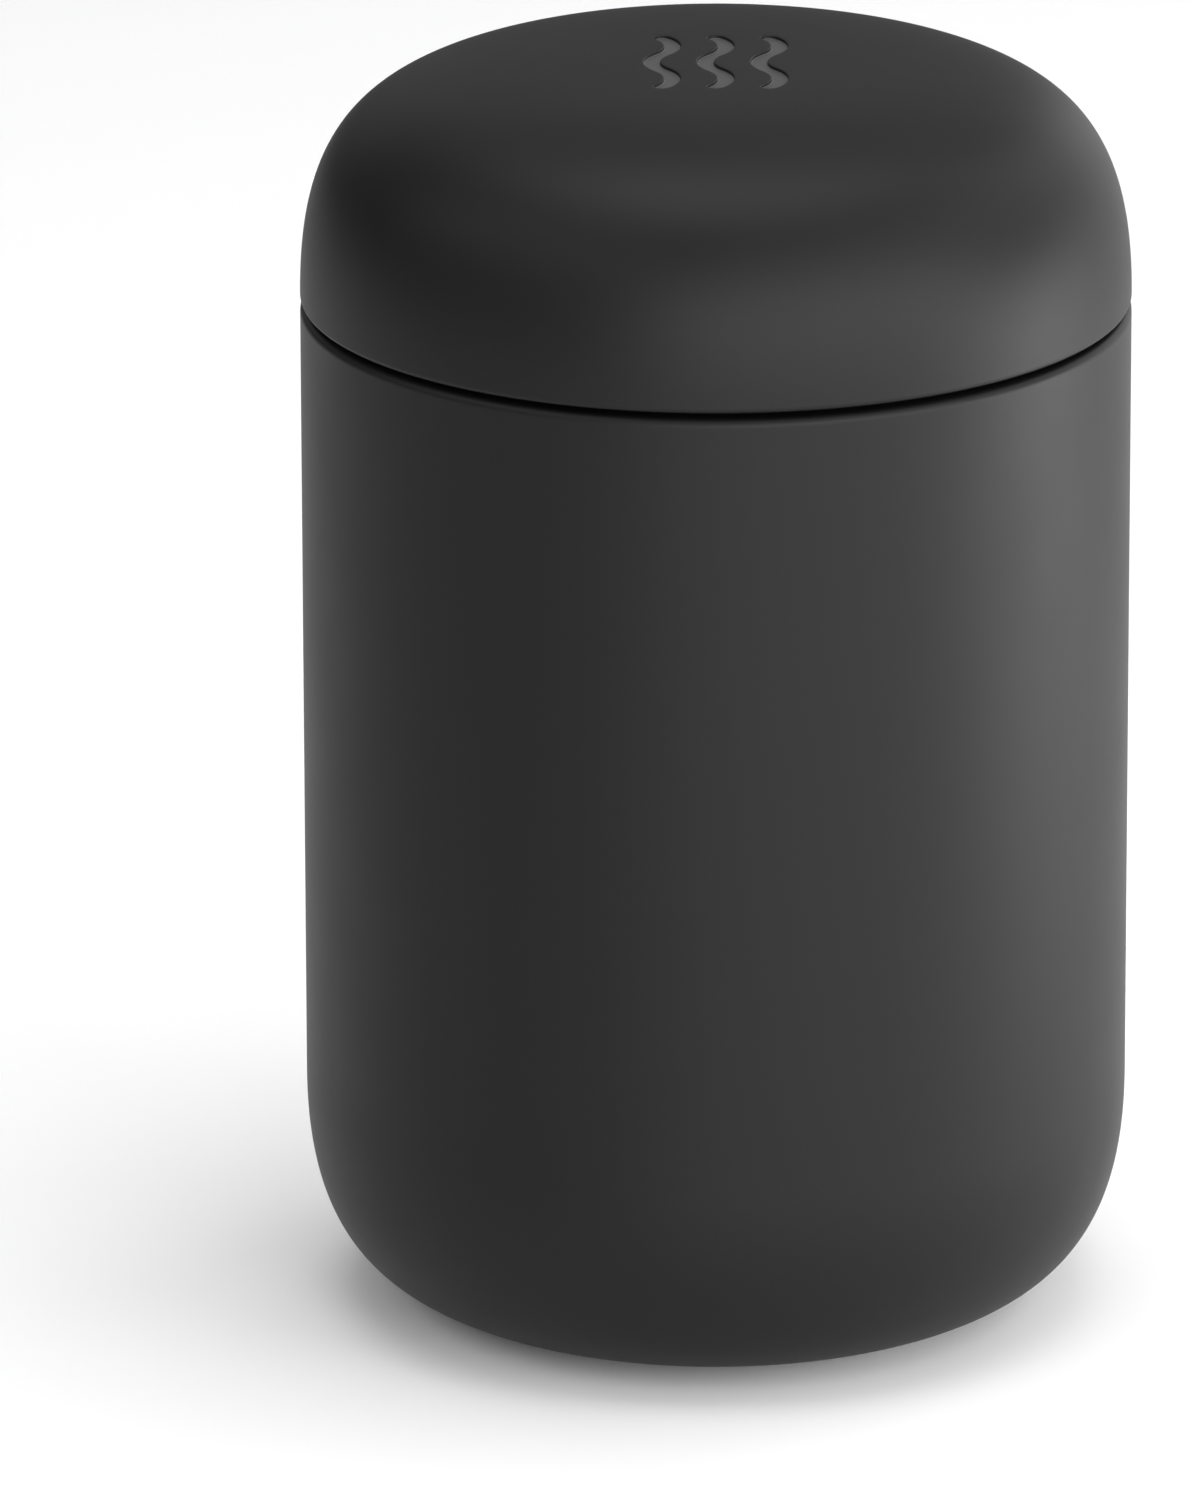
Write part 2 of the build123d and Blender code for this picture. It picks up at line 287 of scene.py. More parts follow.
def add_object(name, bm, body, materials, replaced):
    """Turns a bmesh in millimetres into a piece that rides on a body and replaces CAD nodes."""
    bmesh.ops.scale(bm, vec=(MM, MM, MM), verts=bm.verts)
    bmesh.ops.recalc_face_normals(bm, faces=bm.faces)
    mesh = bpy.data.meshes.new(name)
    bm.to_mesh(mesh)
    bm.free()
    mesh.shade_smooth()
    mesh.set_sharp_from_angle(angle=math.radians(SHARP_ANGLE))
    piece = bpy.data.objects.new(name, mesh)
    bpy.context.scene.collection.objects.link(piece)
    for material in materials:
        mesh.materials.append(material)
    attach(piece, body)
    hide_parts(*replaced)
    return piece


def turned(bm, profile, relief=None, closed=True, material_of=None):
    """Adds a surface turned about Z through (radius, height) points. relief(angle, z, r) gives
    how far a point moves outwards, and material_of(index) the material of a row of faces.
    Returns the rings of vertices, one for each point."""
    rings = []
    for r, z in profile:
        if r < 1e-6:
            rings.append([bm.verts.new((0, 0, z))])
            continue
        ring = []
        for s in range(SEGMENTS):
            angle = 2 * math.pi * s / SEGMENTS
            reach = r + (relief(math.degrees(angle), z, r) if relief else 0)
            ring.append(bm.verts.new((reach * math.cos(angle), reach * math.sin(angle), z)))
        rings.append(ring)
    pairs = list(zip(rings, rings[1:]))
    if closed:
        pairs.append((rings[-1], rings[0]))
    for index, (low, high) in enumerate(pairs):
        if len(low) == 1 and len(high) == 1:
            continue
        for s in range(SEGMENTS):
            n = (s + 1) % SEGMENTS
            if len(low) == 1:
                face = bm.faces.new((low[0], high[n], high[s]))
            elif len(high) == 1:
                face = bm.faces.new((low[s], low[n], high[0]))
            else:
                face = bm.faces.new((low[s], low[n], high[n], high[s]))
            if material_of:
                face.material_index = material_of(index)
    return rings


def fill(bm, loops, holes, height, inner_points=(), material_index=0):
    """Fills the flat region inside the first loop and outside the holes with triangles that use
    the loops' own vertices. height(x, y) places the extra inner points."""
    verts = [v for loop in loops for v in loop]
    flat = [Vector(v.co[:2]) for v in verts] + [Vector(p) for p in inner_points]
    edges = []
    first = 0
    for loop in loops:
        count = len(loop)
        edges += [(first + i, first + (i + 1) % count) for i in range(count)]
        first += count
    out, _, faces, origins, _, _ = geometry.delaunay_2d_cdt(flat, edges, [], 0, 1e-7)
    made = []
    for point, origin in zip(out, origins):
        known = [o for o in origin if o < len(verts)]
        if known:
            made.append(verts[known[0]])
        else:
            made.append(bm.verts.new((point.x, point.y, height(point.x, point.y))))
    for face in faces:
        centre = sum((out[i] for i in face), Vector((0, 0))) / len(face)
        if inside(centre, flat[: len(loops[0])]) and not any(inside(centre, h) for h in holes):
            new = bm.faces.new([made[i] for i in face])
            new.material_index = material_index


def inside(point, outline):
    """True if a flat point is within a closed outline."""
    within = False
    before = outline[-1]
    for here in outline:
        if (here[1] > point[1]) != (before[1] > point[1]):
            cross = (before[0] - here[0]) * (point[1] - here[1]) / (before[1] - here[1]) + here[0]
            if point[0] < cross:
                within = not within
        before = here
    return within


def strip(bm, outer, inner, material_index=0):
    """Quads between two loops with as many vertices each."""
    for i in range(len(outer)):
        n = (i + 1) % len(outer)
        face = bm.faces.new((outer[i], outer[n], inner[n], inner[i]))
        face.material_index = material_index


# ---- Materials ------------------------------------------------------------------------------
def new_material(name, color, roughness, metallic=0.0, specular=0.5):
    """A principled material and its node tree, with the plain values set on the shader."""
    material = bpy.data.materials.new(name)
    material.use_nodes = True
    tree = material.node_tree
    shader = tree.nodes["Principled BSDF"]
    shader.inputs["Base Color"].default_value = (*color, 1.0)
    shader.inputs["Roughness"].default_value = roughness
    shader.inputs["Metallic"].default_value = metallic
    shader.inputs["Specular IOR Level"].default_value = specular
    return material, tree, shader


def noise_value(tree, scale, detail=3.0, stretch=(1, 1, 1), roughness=0.55):
    """A noise output read in the piece's own space. scale counts features in a metre."""
    where = tree.nodes.new("ShaderNodeTexCoord")
    mapping = tree.nodes.new("ShaderNodeMapping")
    mapping.inputs["Scale"].default_value = stretch
    texture = tree.nodes.new("ShaderNodeTexNoise")
    texture.inputs["Scale"].default_value = scale
    texture.inputs["Detail"].default_value = detail
    texture.inputs["Roughness"].default_value = roughness
    tree.links.new(where.outputs["Object"], mapping.inputs["Vector"])
    tree.links.new(mapping.outputs["Vector"], texture.inputs["Vector"])
    return texture.outputs["Fac"]


def spread(tree, source, low, high, target, start=0.3, end=0.7):
    """Links a value to a socket, mapped from its usual range to low..high."""
    remap = tree.nodes.new("ShaderNodeMapRange")
    remap.inputs["From Min"].default_value = start
    remap.inputs["From Max"].default_value = end
    remap.inputs["To Min"].default_value = low
    remap.inputs["To Max"].default_value = high
    tree.links.new(source, remap.inputs["Value"])
    tree.links.new(remap.outputs["Result"], target)


def tint(tree, source, dark, light, target, start=0.3, end=0.7):
    """Links a value to a colour socket, blended from dark to light."""
    ramp = tree.nodes.new("ShaderNodeValToRGB")
    ramp.color_ramp.elements[0].position = start
    ramp.color_ramp.elements[0].color = (*dark, 1.0)
    ramp.color_ramp.elements[1].position = end
    ramp.color_ramp.elements[1].color = (*light, 1.0)
    tree.links.new(source, ramp.inputs["Fac"])
    tree.links.new(ramp.outputs["Color"], target)


def bump(tree, shader, source, height_mm, below=None):
    """Relief of a given height, on top of another bump if one is given."""
    node = tree.nodes.new("ShaderNodeBump")
    node.inputs["Strength"].default_value = 1.0
    node.inputs["Distance"].default_value = height_mm * MM
    tree.links.new(source, node.inputs["Height"])
    if below:
        tree.links.new(below.outputs["Normal"], node.inputs["Normal"])
    tree.links.new(node.outputs["Normal"], shader.inputs["Normal"])
    return node


def grey(value):
    """A neutral colour, very slightly cool."""
    return (value, value, value * 1.01)


def drift(tree, shader, patches, value, roughness):
    """Makes a grey material a little lighter and rougher in some patches than in others."""
    dark, light = grey(value * (1 - GREY_DRIFT)), grey(value * (1 + GREY_DRIFT))
    tint(tree, patches, dark, light, shader.inputs["Base Color"])
    smooth, rough = roughness - ROUGHNESS_DRIFT, roughness + ROUGHNESS_DRIFT
    spread(tree, patches, smooth, rough, shader.inputs["Roughness"])


def powder_coat():
    """Matt black powder coat: fine orange peel, and a sheen that varies a little."""
    material, tree, shader = new_material(
        "powder_coat", grey(COAT_GREY), COAT_ROUGHNESS, specular=COAT_SPECULAR
    )
    drift(tree, shader, noise_value(tree, 90.0, detail=4.0), COAT_GREY, COAT_ROUGHNESS)
    peel = bump(tree, shader, noise_value(tree, 900.0, detail=2.0), 0.003)
    bump(tree, shader, noise_value(tree, 5200.0, detail=2.0), 0.0022, below=peel)
    return material


def moulded(name, value, roughness, specular=0.5):
    """Spark-eroded matt plastic: even fine grain with faint flow patches."""
    material, tree, shader = new_material(name, grey(value), roughness, specular=specular)
    drift(tree, shader, noise_value(tree, 60.0, detail=3.0), value, roughness)
    bump(tree, shader, noise_value(tree, 6400.0, detail=2.0), 0.002)
    return material


def turned_steel(name, value, roughness):
    """Stainless steel with fine lines round the axis from spinning and polishing."""
    material, tree, shader = new_material(name, grey(value), roughness, metallic=1.0)
    lines = noise_value(tree, 40.0, detail=6.0, stretch=(1, 1, 260), roughness=0.7)
    tint(tree, lines, grey(value * 0.9), grey(value * 1.06), shader.inputs["Base Color"])
    spread(tree, lines, roughness - 0.06, roughness + 0.08, shader.inputs["Roughness"])
    bump(tree, shader, lines, 0.0008)
    shader.inputs["Anisotropic"].default_value = 0.45
    return material


def silicone(name, value):
    """Soft rubber: no gloss, a little dust in its pores."""
    material, tree, shader = new_material(name, grey(value), 0.72)
    pores = noise_value(tree, 3000.0, detail=3.0)
    tint(tree, pores, grey(value * 0.9), grey(value * 1.15), shader.inputs["Base Color"])
    spread(tree, noise_value(tree, 120.0), 0.66, 0.78, shader.inputs["Roughness"])
    bump(tree, shader, pores, 0.004)
    return material


def foam():
    """Closed-cell foam: pale, with cells about a third of a millimetre across."""
    material, tree, shader = new_material("cell_foam", (0.82, 0.79, 0.7), 0.9)
    where = tree.nodes.new("ShaderNodeTexCoord")
    cells = tree.nodes.new("ShaderNodeTexVoronoi")
    cells.inputs["Scale"].default_value = 3000.0
    tree.links.new(where.outputs["Object"], cells.inputs["Vector"])
    tint(
        tree,
        cells.outputs["Distance"],
        (0.6, 0.56, 0.47),
        (0.86, 0.83, 0.74),
        shader.inputs["Base Color"],
        start=0.0,
        end=0.5,
    )
    spread(tree, noise_value(tree, 200.0), 0.85, 0.95, shader.inputs["Roughness"])
    bump(tree, shader, cells.outputs["Distance"], 0.08)
    return material


def crumpled_foil():
    """Bright foil with soft creases."""
    material, tree, shader = new_material("crumpled_foil", (0.86, 0.86, 0.87), 0.22, metallic=1.0)
    creases = noise_value(tree, 320.0, detail=5.0, roughness=0.65)
    tint(tree, creases, (0.7, 0.7, 0.72), (0.92, 0.92, 0.93), shader.inputs["Base Color"])
    spread(tree, creases, 0.15, 0.32, shader.inputs["Roughness"])
    bump(tree, shader, creases, 0.12)
    return material


def solder_glass():
    """The fused bead: dull green glass with tiny bubbles."""
    material, tree, shader = new_material("solder_glass", (0.2, 0.26, 0.22), 0.18)
    bubbles = noise_value(tree, 2500.0, detail=2.0)
    tint(tree, bubbles, (0.14, 0.19, 0.16), (0.26, 0.33, 0.28), shader.inputs["Base Color"])
    spread(tree, bubbles, 0.12, 0.25, shader.inputs["Roughness"])
    bump(tree, shader, bubbles, 0.01)
    return material


def sintered():
    """Pressed metal powder: dark, dull and granular."""
    material, tree, shader = new_material("sintered_powder", grey(0.22), 0.7, metallic=0.6)
    grains = noise_value(tree, 4000.0, detail=4.0, roughness=0.7)
    tint(tree, grains, grey(0.12), grey(0.32), shader.inputs["Base Color"])
    spread(tree, grains, 0.6, 0.8, shader.inputs["Roughness"])
    bump(tree, shader, grains, 0.03)
    return material


def adhesive():
    """Double-sided film: straw coloured, slightly mottled."""
    material, tree, shader = new_material("adhesive_film", (0.7, 0.64, 0.48), 0.45)
    mottle = noise_value(tree, 500.0)
    tint(tree, mottle, (0.62, 0.56, 0.4), (0.76, 0.7, 0.55), shader.inputs["Base Color"])
    spread(tree, mottle, 0.38, 0.55, shader.inputs["Roughness"])
    return material


# ---- Pieces of the mug body -----------------------------------------------------------------
def shell_body(coat, bare_steel):
    """Outer shell: coated up to the root of the neck, bare steel above it."""
    base_z = SHELL_LOW.z
    corner_z = base_z + BASE_CORNER_H
    edge_centre = (OUTER_R - SHOULDER_EDGE_R, SHOULDER_Z - SHOULDER_EDGE_R)
    root_centre = (NECK_R + NECK_ROOT_R, SHOULDER_Z + NECK_ROOT_R)
    coated = [(BASE_OPENING_R, base_z), (BASE_FLAT_R - 0.4, base_z)]
    coated += bezier(
        (BASE_FLAT_R, base_z),
        (BASE_FLAT_R + BASE_HANDLE, base_z),
        (OUTER_R, corner_z - SIDE_HANDLE),
        (OUTER_R, corner_z),
    )
    coated += [(OUTER_R, corner_z + 1.0), (OUTER_R, edge_centre[1] - 0.2)]
    coated += arc(edge_centre, SHOULDER_EDGE_R, 0, 90)
    coated += [(edge_centre[0] - 0.15, SHOULDER_Z), (root_centre[0] + 0.1, SHOULDER_Z)]
    bare = arc(root_centre, NECK_ROOT_R, 270, 180)
    bare += [(NECK_R, root_centre[1] + 0.2), (NECK_R, SHELL_HIGH.z)]
    outside = coated + bare
    inner = inset(outside, SHELL_WALL)
    profile = outside + inner[::-1]
    bm = bmesh.new()
    turned(bm, profile, material_of=lambda i: 0 if i < len(coated) else 1)
    return add_object(
        "shell_body", bm, "mug", [coat, bare_steel], ["outer_shell"]
    )


def ridge_height(angle, z, first_z, span, lag):
    """How much of a thread ridge stands at this angle and height, from 0 to 1."""
    best = 0.0
    for start in range(THREAD_STARTS):
        along = (angle - lag - start * 360 / THREAD_STARTS) % 360
        if along > span:
            continue
        off = abs(z - first_z - THREAD_LEAD * along / 360)
        flank = (RIDGE_BASE / 2 - off) / (RIDGE_BASE / 2 - RIDGE_CREST / 2)
        ends = smoothstep(along / RIDGE_TAPER) * smoothstep((span - along) / RIDGE_TAPER)
        best = max(best, smoothstep(flank) * ends)
    return best


def body_ridges(angle, z, r):
    """Ridges that stand inwards from the liner's wall."""
    if abs(r - LINER_R) > 0.01:
        return 0.0
    return -RIDGE_H * ridge_height(angle, z, BODY_RIDGE_Z, BODY_RIDGE_SPAN, 0.0)


def plug_ridges(angle, z, r):
    """Ridges that stand outwards from the plug's wall."""
    if abs(r - PLUG_R) > 0.01:
        return 0.0
    first_z = BODY_RIDGE_Z + THREAD_LEAD * PLUG_RIDGE_LAG / 360 - PLUG_RIDGE_DROP
    return RIDGE_H * ridge_height(angle, z, first_z, PLUG_RIDGE_SPAN, PLUG_RIDGE_LAG)


def thread_rows(r, low, high):
    """Points up a threaded wall, close enough together to draw its flanks."""
    count = math.ceil((high - low) / THREAD_ROW)
    return [(r, low + (high - low) * i / count) for i in range(count + 1)]


def mug_liner(steel):
    """Drinking vessel: floor, wall, guard ledge, body thread and rolled lip in one surface."""
    floor_z = FLOOR_LOW.z
    lip_z = LINER_HIGH.z
    corner = (LINER_OUTER_R - LINER_CORNER_R, floor_z + LINER_CORNER_R)
    outside = [(0, floor_z), (corner[0] - 0.2, floor_z)]
    outside += arc(corner, LINER_CORNER_R, 270, 360, steps=24)
    outside += [(LINER_OUTER_R, lip_z - LINER_WALL), (NECK_R, lip_z - LINER_WALL)]
    lip = rounded((NECK_R, lip_z), LIP_EDGE_R, 0, 90)
    lip += rounded((LINER_R, lip_z), LIP_INNER_EDGE_R, 90, 180, steps=5)
    foot_of_ledge = LEDGE_Z - LEDGE_DEPTH - (LINER_R - LEDGE_R)
    wall = thread_rows(LINER_R, *BODY_THREAD_Z)[::-1]
    wall += [(LINER_R, LEDGE_Z + 0.5), (LINER_R, LEDGE_Z + 0.2)]
    wall += rounded((LINER_R, LEDGE_Z), LEDGE_ROOT_R, 0, -90, steps=3)
    wall += [(LEDGE_R + 0.5, LEDGE_Z)]
    wall += rounded((LEDGE_R, LEDGE_Z), LEDGE_EDGE_R, 90, 180)
    wall += [(LEDGE_R, LEDGE_Z - LEDGE_DEPTH / 2)]
    wall += [(LINER_R, foot_of_ledge), (LINER_R, foot_of_ledge - 0.5)]
    inner_corner = arc(corner, LINER_CORNER_R - LINER_WALL, 360, 270, steps=24)
    inside_floor = [(corner[0] - 0.2, floor_z + LINER_WALL), (0, floor_z + LINER_WALL)]
    bm = bmesh.new()
    profile = outside + lip + wall + inner_corner + inside_floor
    turned(bm, profile, relief=body_ridges, closed=False)
    return add_object(
        "mug_liner", bm, "mug", [steel], ["liner_wall", "liner_base"]
    )


def foot(rubber):
    """Non-slip pad with two ring grooves in its underside."""
    top = PAD_HIGH.z
    radius = PAD_HIGH.x
    profile = [(0, top), (radius, top)]
    profile += rounded((radius, 0), PAD_EDGE_R, 0, -90)
    for groove in PAD_GROOVES:
        outer, inner = groove + PAD_GROOVE_WIDTH / 2, groove - PAD_GROOVE_WIDTH / 2
        profile += [(outer + 0.08, 0), (outer, 0), (outer, PAD_GROOVE_DEPTH)]
        profile += [(inner, PAD_GROOVE_DEPTH), (inner, 0), (inner - 0.08, 0)]
    profile += [(0, 0)]
    bm = bmesh.new()
    turned(bm, profile, closed=False)
    return add_object("foot_ring_pad", bm, "mug", [rubber], ["foot_pad"])


# ---- Pieces of the lid ----------------------------------------------------------------------
def dome_curve(steps=96):
    """The lid's outline from the skirt to the centre of the crown."""
    start_z = DOME_LOW.z + LID_EDGE_R
    return bezier(
        (OUTER_R, start_z),
        (OUTER_R, DOME_HIGH.z),
        (CROWN_HANDLE, DOME_HIGH.z),
        (0, DOME_HIGH.z),
        steps,
    )


CROWN = dome_curve(400)  # close enough together to read heights from


def crown_z(x, y):
    """Height of the crown over a flat point near its centre."""
    r = math.hypot(x, y)
    for (r0, z0), (r1, z1) in zip(CROWN, CROWN[1:]):
        if r1 <= r <= r0:
            return z0 + (z1 - z0) * (r0 - r) / max(r0 - r1, 1e-9)
    return DOME_HIGH.z


def wisp_line(x, steps=12):
    """Middle line of one wisp of steam: three bends, the middle one curved the other way."""
    half = WISP_SWEEP / 2
    bend_x = WISP_BEND_R * math.cos(math.radians(half))
    bend_length = 2 * WISP_BEND_R * math.sin(math.radians(half))
    line = arc((x - bend_x, -bend_length), WISP_BEND_R, -half, half, steps)
    line += arc((x + bend_x, 0), WISP_BEND_R, 180 + half, 180 - half, steps)[1:]
    line += arc((x - bend_x, bend_length), WISP_BEND_R, -half, half, steps)[1:]
    return line


def pressed_mark(bm, crown_ring):
    """Closes the middle of the crown, with three wisps of steam pressed into it."""
    loops, holes = [crown_ring], []
    for place in (-1, 0, 1):
        line = wisp_line(place * WISP_PITCH)
        rings = []
        for out, depth in WISP_WALL:
            outline = capsule(line, WISP_WIDTH / 2 + out)
            rings.append([bm.verts.new((p.x, p.y, crown_z(p.x, p.y) - depth)) for p in outline])
        for index, (outer, inner) in enumerate(zip(rings, rings[1:])):
            strip(bm, outer, inner, material_index=1 if index >= MARK_STEPS else 0)
        fill(bm, [rings[-1]], [], crown_z, material_index=1)
        loops.append(rings[0])
        holes.append([v.co[:2] for v in rings[0]])
    spread_points = []
    for ring in range(1, round(CROWN_PATCH_R / CROWN_GRID)):
        r = ring * CROWN_GRID
        count = round(2 * math.pi * r / CROWN_GRID)
        for k in range(count):
            angle = 2 * math.pi * (k + 0.5 * (ring % 2)) / count
            point = Vector((r * math.cos(angle), r * math.sin(angle)))
            clear = min((point - Vector(p[:2])).length for hole in holes for p in hole)
            if clear > CROWN_MARGIN and not any(inside(point, hole) for hole in holes):
                spread_points.append(point)
    fill(bm, loops, holes, crown_z, inner_points=spread_points)


def lid_cap(plastic, mark):
    """Moulded outer cap with its weld rib, and the mark on its crown."""
    low = DOME_LOW.z
    flange_top = PLUG_HIGH.z
    dome = dome_curve()
    inner_dome = inset(dome, LID_WALL)
    outside = [p for p in reversed(dome) if p[0] > CROWN_PATCH_R + 0.3]
    outside = [(CROWN_PATCH_R, crown_z(CROWN_PATCH_R, 0))] + outside
    skirt = [(OUTER_R, low + LID_EDGE_R + 0.1)]
    skirt += rounded((OUTER_R, low), LID_EDGE_R, 0, -90, steps=7)[1:]
    inner_r = OUTER_R - LID_WALL
    skirt += [(OUTER_R - LID_EDGE_R - 0.1, low), (inner_r + 0.35, low)]
    skirt += rounded((inner_r, low), LID_INNER_EDGE_R, 270, 180)
    above_rib = [p for p in inner_dome if p[0] > WELD_RIB[1] + 0.05]
    rib = [(WELD_RIB[1], above_rib[-1][1] + 0.1), (WELD_RIB[1], flange_top)]
    inner_roof = [p for p in inner_dome if 1.0 < p[0] < WELD_RIB[0] - 0.05]
    rib += [(WELD_RIB[0], flange_top), (WELD_RIB[0], inner_roof[0][1] - 0.1)]
    roof_centre = [(0, DOME_HIGH.z - LID_WALL)]
    bm = bmesh.new()
    profile = outside + skirt + above_rib + rib + inner_roof + roof_centre
    rings = turned(bm, profile, closed=False)
    pressed_mark(bm, rings[0])
    return add_object("lid_cap", bm, "lid", [plastic, mark], ["lid_dome"])


def screw_plug(plastic):
    """Plug with the lid's half of the thread, a flange, and a recess in its underside."""
    low, high = PLUG_LOW.z, PLUG_HIGH.z
    flange_z = high - FLANGE_T
    flange_r = PLUG_HIGH.x
    inner_r = PLUG_R - PLUG_WALL
    roof = low + PLUG_RECESS_H
    profile = [(0, roof), (PLUG_RECESS_R, roof)]
    profile += [(PLUG_RECESS_R + 0.25, roof - 0.1), (PLUG_RECESS_R + 0.6, low)]
    profile += [(PLUG_R - PLUG_CORNER_R - 0.2, low)]
    profile += rounded((PLUG_R, low), PLUG_CORNER_R, 270, 360, steps=8)[:-1]
    profile += thread_rows(PLUG_R, low + PLUG_CORNER_R, PLUG_THREAD_TOP)
    profile += rounded((PLUG_R, flange_z), PLUG_EDGE_R, 180, 90, steps=3)
    profile += rounded((flange_r, flange_z), PLUG_EDGE_R, 270, 360)
    profile += rounded((flange_r, high), PLUG_EDGE_R, 0, 90)
    profile += rounded((inner_r, high), PLUG_EDGE_R, 90, 180)
    profile += rounded((inner_r, low + PLUG_WALL), PLUG_INNER_CORNER_R, 0, -90, steps=5)
    profile += [(0, low + PLUG_WALL)]
    bm = bmesh.new()
    turned(bm, profile, relief=plug_ridges, closed=False)
    return add_object("screw_plug", bm, "lid", [plastic], ["lid_plug"])


def sealing_ring(rubber):
    """Lid gasket: square at its root, with two rounded beads that press on the lip."""
    low, high = GASKET_LOW.z, GASKET_HIGH.z
    inner, outer = PLUG_R + GASKET_GAP, GASKET_HIGH.x
    profile = [(inner, high), (outer, high), (outer, low + 0.6)]
    for bead in (outer - GASKET_BEAD_R, inner + GASKET_INNER_BEAD):
        profile += arc((bead, low + GASKET_BEAD_R), GASKET_BEAD_R, 0, -180, steps=8)
    profile += [(inner, low + GASKET_BEAD_R)]
    bm = bmesh.new()
    turned(bm, profile)
    return add_object("sealing_ring", bm, "lid", [rubber], ["lid_gasket"])


# ---- Pieces of the splash guard -------------------------------------------------------------
def guard_plate_z(x, y, lift=0.0):
    """Underside of the dished plate, or its top with lift set to its thickness."""
    hub = GUARD_HOLE_R + GUARD_COLLAR_T
    share = (math.hypot(x, y) - hub) / (GUARD_RIM_INNER - hub)
    return GUARD_LOW.z + GUARD_DISH * share + lift


def slot_line(index):
    """Middle line of one drain slot, which points at the axis."""
    angle = 2 * math.pi * index / DRAIN_SLOTS
    half = (DRAIN_SLOT_LENGTH - DRAIN_SLOT_WIDTH) / 2
    along = Vector((math.cos(angle), math.sin(angle)))
    return [along * (DRAIN_SLOT_R - half), along * DRAIN_SLOT_R, along * (DRAIN_SLOT_R + half)]


def guard_disc(plastic):
    """Rim, dished plate with rounded drain slots, and the collar of the drinking opening."""
    top = GUARD_HIGH.z
    rim_r = GUARD_HIGH.x
    hub = GUARD_HOLE_R + GUARD_COLLAR_T
    outer_edge = GUARD_RIM_INNER - PLATE_MARGIN
    inner_edge = hub + PLATE_MARGIN
    outer_z = guard_plate_z(outer_edge, 0)
    inner_z = guard_plate_z(inner_edge, 0)
    rim = [(outer_edge, outer_z + GUARD_PLATE_T)]
    rim += [(GUARD_RIM_INNER - 0.15, outer_z + GUARD_PLATE_T + 0.1)]
    rim += [(GUARD_RIM_INNER, outer_z + GUARD_PLATE_T + 0.35)]
    rim += rounded((GUARD_RIM_INNER, top), GUARD_RIM_EDGE_R, 180, 90)
    rim += rounded((rim_r, top), GUARD_RIM_EDGE_R, 90, 0)
    rim += [(rim_r, SEAL_HIGH.z), (SEAL_GROOVE_R, SEAL_HIGH.z)]
    rim += [(SEAL_GROOVE_R, SEAL_LOW.z), (rim_r, SEAL_LOW.z)]
    rim += rounded((rim_r, LEDGE_Z), GUARD_RIM_FOOT_R, 0, -90)
    rim += rounded((GUARD_RIM_INNER, LEDGE_Z), GUARD_RIM_ROOT_R, 270, 180, steps=3)
    rim += [(GUARD_RIM_INNER, outer_z - 0.15), (outer_edge, outer_z)]
    collar = [(inner_edge, inner_z), (hub, GUARD_LOW.z + 0.03)]
    collar += arc((hub - 0.3, GUARD_LOW.z + 0.3), 0.3, -80, -90, steps=1)
    collar += rounded((GUARD_HOLE_R, GUARD_LOW.z), COLLAR_FOOT_R, 270, 180)
    collar += rounded((GUARD_HOLE_R, top), COLLAR_EDGE_R, 180, 90, steps=5)
    collar += rounded((hub, top), COLLAR_EDGE_R, 90, 0, steps=5)
    collar += [(hub, inner_z + GUARD_PLATE_T + 0.4)]
    collar += [(hub + 0.12, inner_z + GUARD_PLATE_T + 0.1)]
    collar += [(inner_edge, inner_z + GUARD_PLATE_T)]
    bm = bmesh.new()
    rim_rings = turned(bm, rim, closed=False)
    collar_rings = turned(bm, collar, closed=False)
    sides = (
        (rim_rings[0], collar_rings[-1], GUARD_PLATE_T, -1),
        (rim_rings[-1], collar_rings[0], 0.0, 1),
    )
    slot_rings = []
    for outer, inner, lift, into in sides:
        loops, holes, mouths = [outer, inner], [[v.co[:2] for v in inner]], []
        for index in range(DRAIN_SLOTS):
            rings = []
            for out, depth in SLOT_EDGE:
                outline = capsule(slot_line(index), DRAIN_SLOT_WIDTH / 2 + out)
                rings.append(
                    [
                        bm.verts.new((p.x, p.y, guard_plate_z(p.x, p.y, lift) + into * depth))
                        for p in outline
                    ]
                )
            for wide, narrow in zip(rings, rings[1:]):
                strip(bm, wide, narrow)
            loops.append(rings[0])
            holes.append([v.co[:2] for v in rings[0]])
            mouths.append(rings[-1])
        fill(bm, loops, holes, lambda x, y: guard_plate_z(x, y, lift))
        slot_rings.append(mouths)
    for upper, lower in zip(*slot_rings):
        strip(bm, upper, lower)
    return add_object("guard_disc", bm, "guard", [plastic], ["splash_guard"])


def guard_ring(rubber):
    """Silicone ring with two fins that grip the liner."""
    low, high, outer = SEAL_LOW.z, SEAL_HIGH.z, SEAL_HIGH.x
    middle = (low + high) / 2
    profile = [(SEAL_GROOVE_R, low), (SEAL_GROOVE_R + 0.9, low)]
    profile += arc((outer - SEAL_FIN_R, low + 0.2), SEAL_FIN_R, -80, 80, steps=5)
    profile += [(outer - 0.85, middle - 0.08), (outer - 0.85, middle + 0.08)]
    profile += arc((outer - SEAL_FIN_R, high - 0.2), SEAL_FIN_R, -80, 80, steps=5)
    profile += [(SEAL_GROOVE_R + 0.9, high), (SEAL_GROOVE_R, high)]
    bm = bmesh.new()
    turned(bm, profile)
    return add_object("guard_ring", bm, "guard", [rubber], ["guard_seal"])


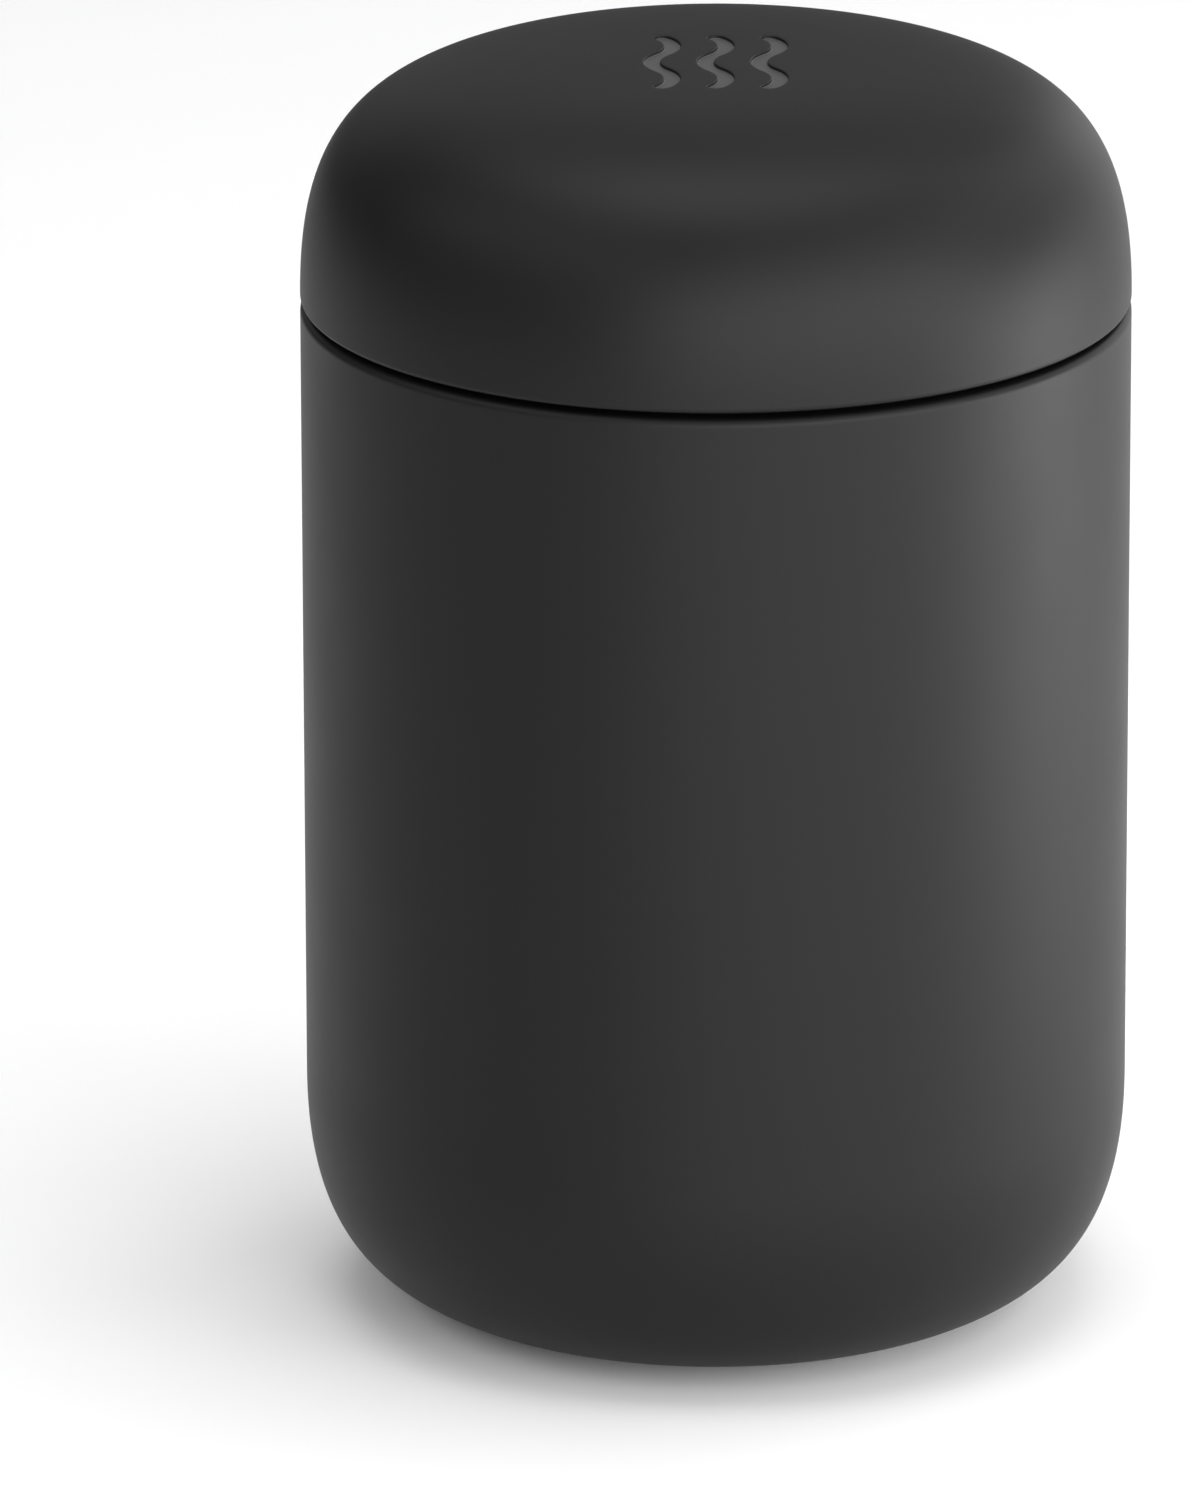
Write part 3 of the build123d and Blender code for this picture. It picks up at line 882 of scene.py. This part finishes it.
# ---- Stage ----------------------------------------------------------------------------------
def floor():
    """Pale seamless floor under the mug."""
    material, tree, shader = new_material("studio_floor", FLOOR_COLOR, 0.6)
    tint(
        tree,
        noise_value(tree, 6.0),
        tuple(c * 0.995 for c in FLOOR_COLOR),
        FLOOR_COLOR,
        shader.inputs["Base Color"],
    )
    bm = bmesh.new()
    bmesh.ops.create_grid(bm, x_segments=1, y_segments=1, size=FLOOR_HALF)
    mesh = bpy.data.meshes.new("studio_floor")
    bm.to_mesh(mesh)
    bm.free()
    mesh.materials.append(material)
    plane = bpy.data.objects.new("studio_floor", mesh)
    bpy.context.scene.collection.objects.link(plane)


def softbox(name, azimuth, elevation, distance, width, height, power):
    """Area light that faces the mug's middle. The camera doesn't see it."""
    a, e = math.radians(azimuth), math.radians(elevation)
    aim = Vector((0, 0, MUG_MIDDLE))
    out = Vector((math.sin(a) * math.cos(e), -math.cos(a) * math.cos(e), math.sin(e)))
    data = bpy.data.lights.new(name, "AREA")
    data.shape = "RECTANGLE"
    data.size, data.size_y = width, height
    data.energy = power
    light = bpy.data.objects.new(name, data)
    light.visible_camera = False
    light.location = aim + out * distance
    light.rotation_euler = (-out).to_track_quat("-Z", "Y").to_euler()
    bpy.context.scene.collection.objects.link(light)


def camera():
    """Long lens, looking down on the mug, which stands right of the picture's middle."""
    data = bpy.data.cameras.new("camera")
    data.sensor_width = SENSOR
    data.lens = LENS
    data.clip_start, data.clip_end = 0.1, 20.0
    view = bpy.data.objects.new("camera", data)
    e = math.radians(VIEW_ELEVATION)
    out = Vector((0, -math.cos(e), math.sin(e)))
    view.location = Vector((0, 0, MUG_MIDDLE)) + out * VIEW_DISTANCE
    look = (-out).to_track_quat("-Z", "Y").to_matrix()
    turn = Matrix.Rotation(math.radians(-VIEW_TILT), 3, "X")
    turn = turn @ Matrix.Rotation(math.radians(VIEW_PAN), 3, "Y")
    view.rotation_euler = (look @ turn).to_euler()
    bpy.context.scene.collection.objects.link(view)
    bpy.context.scene.camera = view


def surroundings():
    """Even white studio light from all round."""
    world = bpy.data.worlds.new("studio")
    world.use_nodes = True
    background = world.node_tree.nodes["Background"]
    background.inputs["Color"].default_value = (1.0, 1.0, 1.0, 1.0)
    background.inputs["Strength"].default_value = WORLD_STRENGTH
    bpy.context.scene.world = world
    bpy.context.scene.view_settings.view_transform = "Standard"


# ---- Making ---------------------------------------------------------------------------------
camera()
surroundings()
floor()
for bank_name, azimuths, *panel in SOFTBOXES:
    for bank_azimuth in azimuths:
        softbox(f"{bank_name}_{bank_azimuth}", bank_azimuth, *panel)

COAT = powder_coat()
LID_PLASTIC = moulded("lid_plastic", LID_GREY, LID_ROUGHNESS, specular=COAT_SPECULAR)
# the mark's floor: its lighter grey is a painted reflection of the bright surroundings
MARK = moulded("mark_floor", MARK_REFLECTION_GREY, MARK_ROUGHNESS, specular=COAT_SPECULAR)
INNER_PLASTIC = moulded("inner_plastic", INNER_GREY, INNER_ROUGHNESS)
STEEL = turned_steel("liner_steel", STEEL_GREY, STEEL_ROUGHNESS)
RUBBER = silicone("silicone", RUBBER_GREY)
FOIL = crumpled_foil()

shell_body(COAT, STEEL)
mug_liner(STEEL)
foot(RUBBER)
lid_cap(LID_PLASTIC, MARK)
screw_plug(INNER_PLASTIC)
sealing_ring(RUBBER)
guard_disc(INNER_PLASTIC)
guard_ring(RUBBER)

KEPT_NODES = {  # CAD nodes that keep their own mesh, and what they are made of
    "base_plate": STEEL,
    "getter_strap": STEEL,
    "getter": sintered(),
    "exhaust_seal": solder_glass(),
    "foil_wrap": FOIL,
    "foil_disc": FOIL,
    "lid_foam": foam(),
    "pad_adhesive": adhesive(),
}
for node_name, node_material in KEPT_NODES.items():
    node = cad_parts[node_name]
    node.data.materials.clear()
    node.data.materials.append(node_material)
